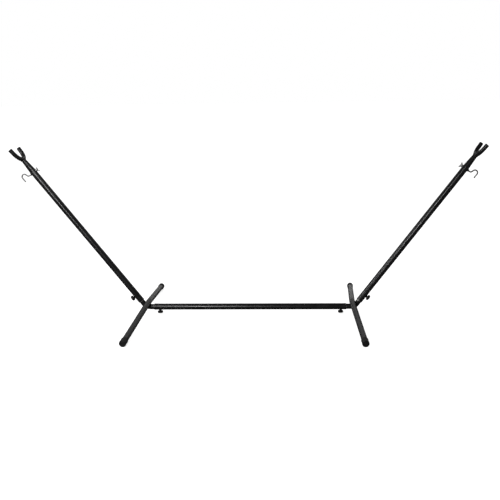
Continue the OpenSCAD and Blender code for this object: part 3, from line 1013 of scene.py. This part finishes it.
stations = hook_path()
tip, heading = stations.pop()
forward = Vector((math.cos(heading), math.sin(heading)))
start = Vector((THREAD_END - 0.2 * MM, 0))
wire_rings = [wire_ring(start, 0.0, 0), wire_ring(start, 0.0, CORE_START)]
wire_rings += [wire_ring(spot, turn, SCREW_RADIUS) for spot, turn in stations]
for i in range(TIP_STEPS + 1):
    t = math.radians(90 * i / TIP_STEPS)
    radius = 0 if i == TIP_STEPS else SCREW_RADIUS - TIP_ROUND + TIP_ROUND * math.cos(t)
    wire_rings.append(wire_ring(tip - forward * TIP_ROUND * (1 - math.sin(t)), heading, radius))
for side in SIDES:
    end = ends[side]
    bm = bmesh.new()
    skin_rings(bm, wire_rings, frame_at(end["hook"], end["outward"], end["up_arm"]))
    point_outwards(bm)
    rod_place = frame_at(end["hook"] - end["outward"] * SHANK_IN, end["up_arm"], end["outward"])
    # The hook bolt takes the zinc with painted shade, darkened to 0.6
    threaded(bm, rod_place, SHANK_IN + THREAD_END, hook_zinc_painted_shade)
    hook = finish_mesh(bm, f"{side}_hook_bolt", hook_zinc_painted_shade, sharp=35)
    settle(hook, f"{side}_hook", f"{side}_hook")

# %% [markdown]
# ## Wing nuts
# A wing nut is cast: a round hub with two flat ears and soft fillets all over. It could be drawn with a
# subdivision cage, but a casting is easier to make the way a pattern maker does it. The hub and the ears
# are put together as simple convex lumps, a voxel remesh fuses them into one skin, smoothing rounds the
# inner corners, and the bore is cut last so that it stays crisp.


# %% Wing nuts
HUB_PROFILE = [(0, 0.1), (6.6, 0.1), (7.0, 0.5), (7.0, 2.2), (6.4, 4.6), (6.1, 7.3), (5.6, 7.9),
               (0, 7.9)]
DRILL_PROFILE = [(0, -5), (4.1, -5), (4.1, 20), (0, 20)]
VOXEL = 0.34 * MM


def lump(bm, balls):
    """Convex hull of a few flattened balls, each given by its centre and radii in millimetres."""
    hull = bmesh.new()
    for centre, radii in balls:
        made = bmesh.ops.create_uvsphere(hull, u_segments=24, v_segments=16, radius=1)
        for vert in made["verts"]:
            vert.co = Vector([(c + r * v) * MM for c, r, v in zip(centre, radii, vert.co)])
    bmesh.ops.convex_hull(hull, input=hull.verts)
    loose = [v for v in hull.verts if not v.link_faces]
    bmesh.ops.delete(hull, geom=loose, context="VERTS")
    bm.from_mesh(plain_mesh(hull, "lump"))


def cast_wing_nut():
    """Wing nut with its hub's foot at the origin and its axis up Z, wings along X."""
    bm = bmesh.new()
    turned(bm, in_mm(HUB_PROFILE), Matrix.Identity(4), closed=False)
    for way in (-1, 1):
        lump(bm, [((way * 4.6, 0, 3.4), (2.6, 2.5, 3.0)), ((way * 10.4, 0, 12.0), (4.6, 1.5, 4.6)),
                  ((way * 12.2, 0, 13.9), (3.4, 1.35, 3.4))])
    bmesh.ops.recalc_face_normals(bm, faces=bm.faces)
    casting = start_object(plain_mesh(bm, "pattern"))
    fuse = casting.modifiers.new("fuse", "REMESH")
    fuse.mode = "VOXEL"
    fuse.voxel_size = VOXEL
    soften = casting.modifiers.new("soften", "SMOOTH")
    soften.factor, soften.iterations = 0.5, 6
    bm = bmesh.new()
    turned(bm, in_mm(DRILL_PROFILE), Matrix.Identity(4), count=48, closed=False)
    point_outwards(bm)
    drill = start_object(plain_mesh(bm, "drill"))
    bore = casting.modifiers.new("bore", "BOOLEAN")
    bore.operation, bore.object = "DIFFERENCE", drill
    mesh = evaluated_mesh(casting)
    bpy.data.objects.remove(drill)
    return mesh


wing_nut_mesh = cast_wing_nut()
for side in SIDES:
    end = ends[side]
    bm = bmesh.new()
    bm.from_mesh(wing_nut_mesh)
    foot = end["hook"] - end["outward"] * hook_seat
    bm.transform(frame_at(foot, end["up_arm"], -end["outward"]))
    wing_nut = finish_mesh(bm, f"{side}_wing_nut_cast", zinc, sharp=45)
    settle(wing_nut, f"{side}_wing_nut", f"{side}_wing_nut")
bpy.data.meshes.remove(wing_nut_mesh)

# %% [markdown]
# ## Weld beads
# A bead is laid down drop by drop, like a row of overlapping coins pushed along the joint. The
# path of each bead is where two tubes meet, worked out from the distance to both centre lines. The tree
# puts a slightly varied drop about every millimetre along that path, turned to follow it, on a round
# core that fills the root of the joint. The drops overlap so far that only a fine ripple is left.

# %% Bead tree
bead, given = new_tree("weld bead", [
    ("Pitch", FLOAT, 0.0014), ("Drop Radius", FLOAT, 0.003), ("Drop Length", FLOAT, 0.0028),
    ("Variation", FLOAT, 0.06), ("Seed", INTEGER, 7),
])
ROOT_SHARE = 0.9
evenly = add_node(bead, "GeometryNodeResampleCurve", {"mode": "LENGTH"},
                  Curve=given["Geometry"], Length=given["Pitch"]).outputs["Curve"]
drop = add_node(bead, "GeometryNodeMeshUVSphere", Segments=14, Rings=9, Radius=1.0)
tangent = bead.nodes.new("GeometryNodeInputTangent").outputs[0]
lean = add_node(bead, "FunctionNodeAlignRotationToVector", {"axis": "Z"}, Vector=tangent)
vary = add_node(
    bead, "FunctionNodeRandomValue", {"data_type": "FLOAT"}, Seed=given["Seed"],
    Min=math_in(bead, "SUBTRACT", 1.0, given["Variation"]),
    Max=math_in(bead, "ADD", 1.0, given["Variation"]),
)
width = math_in(bead, "MULTIPLY", given["Drop Radius"], vary.outputs["Value"])
drop_size = add_node(bead, "ShaderNodeCombineXYZ", X=width, Y=width, Z=given["Drop Length"])
drops = add_node(
    bead, "GeometryNodeInstanceOnPoints", Points=evenly, Instance=drop.outputs["Mesh"],
    Rotation=lean.outputs[0], Scale=drop_size.outputs[0],
)
root = add_node(bead, "GeometryNodeCurvePrimitiveCircle", Resolution=10,
                Radius=math_in(bead, "MULTIPLY", given["Drop Radius"], ROOT_SHARE))
filler = add_node(bead, "GeometryNodeCurveToMesh", Curve=evenly,
                  Profile_Curve=root.outputs["Curve"])
joined = bead.nodes.new("GeometryNodeJoinGeometry")
connect(bead, drops.outputs["Instances"], joined.inputs["Geometry"])
connect(bead, filler.outputs["Mesh"], joined.inputs["Geometry"])
end_tree(bead, given, joined.outputs["Geometry"])


# A drop's pitch and length, as shares of its radius
PITCH_SHARE, LENGTH_SHARE = 0.45, 0.95


def closed_path(points):
    """Closed curve object through the points."""
    curve = bpy.data.curves.new("path", "CURVE")
    curve.dimensions = "3D"
    spline = curve.splines.new("POLY")
    spline.points.add(len(points) - 1)
    for knot, point in zip(spline.points, points):
        knot.co = (*point, 1)
    spline.use_cyclic_u = True
    return start_object(curve)


def lay_bead(bm, points, radius, seed, finish=coat):
    """Adds a bead along a closed path."""
    bm.from_mesh(run_tree(closed_path(points), bead, {
        "Pitch": radius * PITCH_SHARE, "Drop Radius": radius, "Drop Length": radius * LENGTH_SHARE,
        "Variation": 0.06, "Seed": seed, "Finish": finish,
    }))


print("bead tree", len(bead.nodes), "nodes")

# %% [markdown]
# ## Where the beads run
# The leg crosses the elbow, and both are bent there. A point of the joint keeps its distance from two
# arcs at once. For each direction round the joint, a short search walks outwards until both distances
# fit. The fork's bar crosses the end of the arm in the same way, and the small bead round each clamp
# nut simply follows the tube's curve under it.


# %% Bead paths
ELBOW_TUBE, LEG_TUBE = 16 * MM, 17 * MM
ELBOW_BEND = 45 * MM
ARM_NECK = 13 * MM
BEAD, FORK_BEAD, NUT_BEAD = 3.1 * MM, 3.1 * 0.8 * MM, 1.3 * MM
ROUND = 120
# How far the beads' core stands off the tubes, and where the search for the leg's joint starts
LEG_STAND_OFF, FORK_STAND_OFF, NUT_STAND_OFF = 0.5 * MM, 0.4 * MM, 0.2 * MM
JOINT_GUESS = (13 * MM, 20 * MM)
# Where the fork's saddle levels off, how far its bead bulges, and by how much more further back
SADDLE_LEVEL, BULGE, BULGE_GROWTH = 11.4 * MM, 0.7 * MM, 0.07
NUT_RING = 7.5 * MM


def both_fit(first, second, start):
    """Solves two distances for two unknowns by Newton's method."""
    u, v = start
    step = 1e-6
    for _ in range(30):
        a, b = first(u, v), second(u, v)
        a_u, a_v = (first(u + step, v) - a) / step, (first(u, v + step) - a) / step
        b_u, b_v = (second(u + step, v) - b) / step, (second(u, v + step) - b) / step
        whole = a_u * b_v - a_v * b_u
        u -= (a * b_v - b * a_v) / whole
        v -= (b * a_u - a * b_u) / whole
    return u, v


def leg_bead_path(end):
    """Saddle between the leg and the elbow; u is the reach sideways, v the height up the rise."""
    half_turn = end["along_base"].angle(end["up_arm"]) / 2
    bend_middle = ELBOW_BEND / math.cos(half_turn)
    in_plane = end["rise"].cross(Vector((0, 1, 0)))
    points = []
    for angle in angles_round(ROUND):
        c, s = math.cos(angle), math.sin(angle)

        def off_elbow(u, v):
            spread = math.hypot(bend_middle - v, u * c)
            return math.hypot(spread - ELBOW_BEND, u * s) - ELBOW_TUBE - LEG_STAND_OFF

        def off_leg(u, v):
            spread = math.hypot(v - LEG_CREST + LEG_BEND, u * s)
            return math.hypot(spread - LEG_BEND, u * c) - LEG_TUBE - LEG_STAND_OFF

        u, v = both_fit(off_elbow, off_leg, JOINT_GUESS)
        points.append(end["corner"] + end["rise"] * v + in_plane * u * c + Vector((0, u * s, 0)))
    return points


def fork_bead_path(end):
    """Saddle between the arm's neck and the fork's bar."""
    bar = end["saddle"] - end["up_arm"] * FORK_TUBE
    points = []
    for angle in angles_round(ROUND):
        out, across = ARM_NECK * math.cos(angle), ARM_NECK * math.sin(angle)
        level_out = max(-SADDLE_LEVEL, min(SADDLE_LEVEL, out))
        lift = math.sqrt((FORK_TUBE + FORK_STAND_OFF) ** 2 - level_out ** 2)
        drop_in = FORK_BEND - math.sqrt(FORK_BEND ** 2 - across ** 2)
        back = lift - drop_in
        swell = 1 + (BULGE + back * BULGE_GROWTH) / ARM_NECK
        points.append(bar - end["up_arm"] * back + end["outward"] * out * swell
                      + Vector((0, across * swell, 0)))
    return points


def nut_bead_path(place, tube_axis, axis):
    """Ring round a clamp nut, on the tube's surface."""
    across = axis.cross(tube_axis)
    points = []
    for angle in angles_round(ROUND // 2):
        along, side_step = NUT_RING * math.cos(angle), NUT_RING * math.sin(angle)
        height = math.sqrt(TUBE_RADIUS ** 2 - side_step ** 2) + NUT_STAND_OFF
        points.append(place + axis * height + tube_axis * along + across * side_step)
    return points


# %% Weld beads
for side in SIDES:
    end = ends[side]
    bm = bmesh.new()
    lay_bead(bm, leg_bead_path(end), BEAD, seed=3)
    leg_weld = finish_mesh(bm, f"{side}_leg_weld_bead", coat, sharp=180)
    settle(leg_weld, f"{side}_corner", f"{side}_leg_weld")

    bm = bmesh.new()
    lay_bead(bm, fork_bead_path(end), FORK_BEAD, seed=5, finish=weld_coat)
    fork_weld = finish_mesh(bm, f"{side}_fork_weld_bead", weld_coat, sharp=180)
    settle(fork_weld, f"{side}_arm", f"{side}_fork_weld")

    for tube, body, place, axis in clamps[side]:
        tube_axis = end["along_base"] if tube == "base" else end["up_arm"]
        bm = bmesh.new()
        lay_bead(bm, nut_bead_path(place, tube_axis, axis), NUT_BEAD, seed=11)
        nut_weld = finish_mesh(bm, f"{side}_{tube}_nut_weld_bead", coat, sharp=180)
        settle(nut_weld, body, None)
